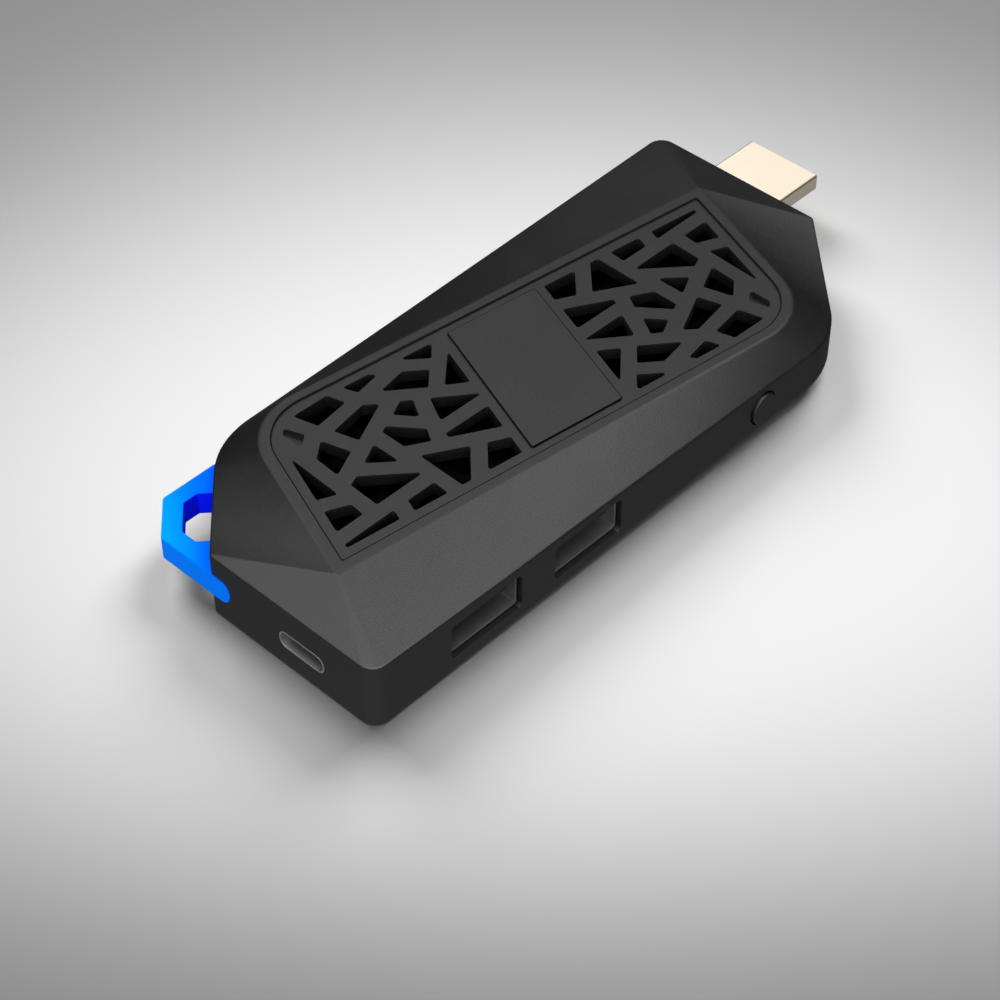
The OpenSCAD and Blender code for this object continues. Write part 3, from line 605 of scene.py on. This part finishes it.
# Plated and rolled metal, drawn along one direction
def platedMetal(name, look):
    material, finish = newFinish(name)
    streak = finish.noise(finish.place(look["stretch"]), look["streak"] * mm, 3)
    cloud = finish.noise(finish.place(), look["cloud"] * mm, 3)
    finish.shade({
        "Base Color": finish.blend(cloud, rgba(*look["dark"]), rgba(*look["light"])),
        "Metallic": 1.0,
        "Roughness": look["roughness"] + (streak - midNoise) * look["swing"],
        "Normal": finish.bump(streak, look["depth"] * mm),
    })
    return material


plugLook = {
    "dark": (0.93, 0.81, 0.64),
    "light": (0.98, 0.88, 0.71),
    "stretch": (0.15, 1, 1),
    "streak": 0.2,
    "cloud": 5,
    "swing": 0.12,
    "depth": 0.001,
    "roughness": 0.38,
}
plug = {
    "node": "video_plug_shell",
    "name": "plugShell",
    "edge": 0.08,
    "steps": 2,
    "hardAngle": 50,
    "finish": platedMetal("plugGold", plugLook),
}
plugShell = softCopy(plug)
plugOnly.objects.link(plugShell)
mouldedOnly.objects.unlink(plugShell)

steelLook = {
    # painted shade: these steel tones are set darker for the wide sockets' shells, so their insides look
    # shaded
    "dark": (0.36, 0.36, 0.37),
    "light": (0.45, 0.45, 0.46),
    "stretch": (1, 0.15, 1),
    "streak": 0.25,
    "cloud": 4,
    "swing": 0.15,
    "depth": 0.001,
    "roughness": 0.52,
}
# painted shade: the wide sockets take this darker copy of the steel
shadedShellSteel = platedMetal("shadedShellSteel", steelLook)
ringLook = dict(steelLook, dark=(0.54, 0.54, 0.55), light=(0.64, 0.64, 0.65))
ringSteel = platedMetal("ringSteel", ringLook)
shell = {"edge": 0.06, "steps": 2, "hardAngle": 50}
for place, finish in (("rear", shadedShellSteel), ("front", shadedShellSteel), ("power", ringSteel)):
    softCopy(dict(shell, node=place + "_socket_shell", name=place + "SocketShell", finish=finish))

insulatorLook = {
    "dark": (0.006, 0.006, 0.0065),
    "light": (0.014, 0.014, 0.015),
    "upright": (0.01, 0.01, 0.0105),
    "steepness": 4,
    "contrast": 1.4,
    "cloudShare": 0.3,
    "grain": 0.12,
    "cloud": 3,
    "depth": 0.006,
    "sparkle": 0.15,
    "swing": 0.05,
    "roughness": 0.5,
    "shine": 0.45,
}
insulator = mouldedPlastic("insulator", insulatorLook)
tongue = {"edge": 0.08, "steps": 2, "hardAngle": 50, "finish": insulator}
for place in ("rear", "front", "power"):
    softCopy(dict(tongue, node=place + "_socket_tongue", name=place + "SocketTongue"))
softCopy(dict(tongue, node="video_plug_core", name="plugCore"))
print("plug and sockets made")

screwLook = dict(steelLook, dark=(0.5, 0.5, 0.51), light=(0.66, 0.66, 0.68), streak=0.1, roughness=0.35)
screwSteel = platedMetal("screwSteel", screwLook)
screw = {"node": "cover_screws", "name": "coverScrews", "edge": 0.05, "steps": 2, "hardAngle": 50,
         "finish": screwSteel}
softCopy(screw)


# Circuit board: solder mask over groups of parallel traces
def solderMask(name, look):
    material, finish = newFinish(name)
    at = finish.place()
    cell = finish.node("ShaderNodeTexVoronoi", {"distance": "CHEBYCHEV"},
                       {"Vector": at, "Scale": 1 / (look["patch"] * mm)}, "Color")
    turned = finish.node("ShaderNodeMath", {"operation": "GREATER_THAN"},
                         {0: finish.dot(cell, (1, 0, 0)), 1: look["turnedShare"]})
    place = finish.dot(at, (1, 0, 0)) * turned + finish.dot(at, (0, 1, 0)) * (1 - turned)
    turn = place * (math.tau / (look["pitch"] * mm))
    wave = finish.node("ShaderNodeMath", {"operation": "SINE"}, {0: turn})
    trace = finish.node("ShaderNodeMapRange", None,
                        {"Value": wave, "From Min": look["traceFrom"], "From Max": look["traceTo"]})
    cloud = finish.noise(at, look["cloud"] * mm, 3)
    finish.shade({
        "Base Color": finish.blend(trace, rgba(*look["mask"]), rgba(*look["trace"])),
        "Roughness": look["roughness"] + (cloud - midNoise) * look["swing"],
        "Normal": finish.bump(trace, look["depth"] * mm),
    })
    return material


boardLook = {
    "mask": (0.008, 0.012, 0.01),
    "trace": (0.016, 0.026, 0.02),
    "patch": 6,
    "turnedShare": 0.5,          # how many of the patches run the other way
    "pitch": 0.5,
    "traceFrom": 0.1,
    "traceTo": 0.4,
    "cloud": 7,
    "swing": 0.12,
    "depth": 0.02,
    "roughness": 0.38,
}


# Fine wire: turns laid one over another
def woundWire(name, look):
    material, finish = newFinish(name)
    at = finish.place()
    height = finish.dot(at, (0, 0, 1)) * (math.tau / (look["pitch"] * mm))
    turns = finish.node("ShaderNodeMath", {"operation": "SINE"}, {0: height})
    cloud = finish.noise(at, look["cloud"] * mm, 3)
    finish.shade({
        "Base Color": finish.blend(cloud, rgba(*look["dark"]), rgba(*look["light"])),
        "Metallic": 1.0,
        "Roughness": look["roughness"] + (cloud - midNoise) * look["swing"],
        "Normal": finish.bump(turns, look["depth"] * mm),
    })
    return material


copperLook = {
    "dark": (0.6, 0.3, 0.15),
    "light": (0.78, 0.44, 0.25),
    "pitch": 0.16,
    "cloud": 1.5,
    "swing": 0.15,
    "depth": 0.03,
    "roughness": 0.36,
}
contactLook = dict(plugLook, dark=(0.8, 0.58, 0.24), light=(0.9, 0.68, 0.32), streak=0.1, roughness=0.28)
rolledLook = dict(steelLook, stretch=(0.1, 1, 1))
shieldLook = dict(rolledLook, dark=(0.5, 0.5, 0.51), light=(0.64, 0.64, 0.66), roughness=0.36)
sinkLook = dict(rolledLook, dark=(0.008, 0.008, 0.0084), light=(0.014, 0.014, 0.015), roughness=0.5)
chipLook = dict(insulatorLook, dark=(0.01, 0.01, 0.0105), light=(0.022, 0.022, 0.023), roughness=0.58)
fanLook = dict(insulatorLook, roughness=0.75, shine=0.12)
fanLook.update(dark=(0.002, 0.002, 0.0021), light=(0.004, 0.004, 0.0042), upright=(0.003, 0.003, 0.0032))
ferriteLook = dict(insulatorLook, grain=0.25, roughness=0.62)
ferriteLook.update(dark=(0.05, 0.05, 0.052), light=(0.13, 0.13, 0.135), upright=(0.09, 0.09, 0.094))
thermalLook = dict(insulatorLook, grain=0.35, roughness=0.8)
thermalLook.update(dark=(0.24, 0.25, 0.28), light=(0.34, 0.35, 0.38), upright=(0.29, 0.3, 0.33))
plungerLook = dict(insulatorLook, roughness=0.42)
plungerLook.update(dark=(0.62, 0.62, 0.64), light=(0.72, 0.72, 0.74), upright=(0.68, 0.68, 0.7))
innerFinish = {
    "contact_gold": platedMetal("contactGold", contactLook),
    "insulator": insulator,
    "board_black": solderMask("boardMask", boardLook),
    "chip_black": mouldedPlastic("chipEpoxy", chipLook),
    "ferrite": mouldedPlastic("ferrite", ferriteLook),
    "shield_metal": platedMetal("shieldMetal", shieldLook),
    "copper": woundWire("copperWire", copperLook),
    "thermal_grey": mouldedPlastic("thermalGrey", thermalLook),
    "sink_black": platedMetal("sinkBlack", sinkLook),
    "fan_black": mouldedPlastic("fanBlack", fanLook),
    "plunger_white": mouldedPlastic("plungerWhite", plungerLook),
    "screw_steel": screwSteel,
}
# painted shade: a near-black copy of the screw steel for the screws seen through the openings
shadedScrewLook = dict(screwLook, dark=(0.02, 0.02, 0.021), light=(0.04, 0.04, 0.042))
shadedScrew = platedMetal("shadedScrew", shadedScrewLook)
shadedScrews = ("board_screws", "cooling_screws")        # painted shade: these lie under the openings, so they take a near-black copy of the screw steel
for name, node in nodes.items():
    if slotOf[name] in innerFinish:
        node.data.materials.clear()
        node.data.materials.append(shadedScrew if name in shadedScrews else innerFinish[slotOf[name]])
print("inner pieces finished")
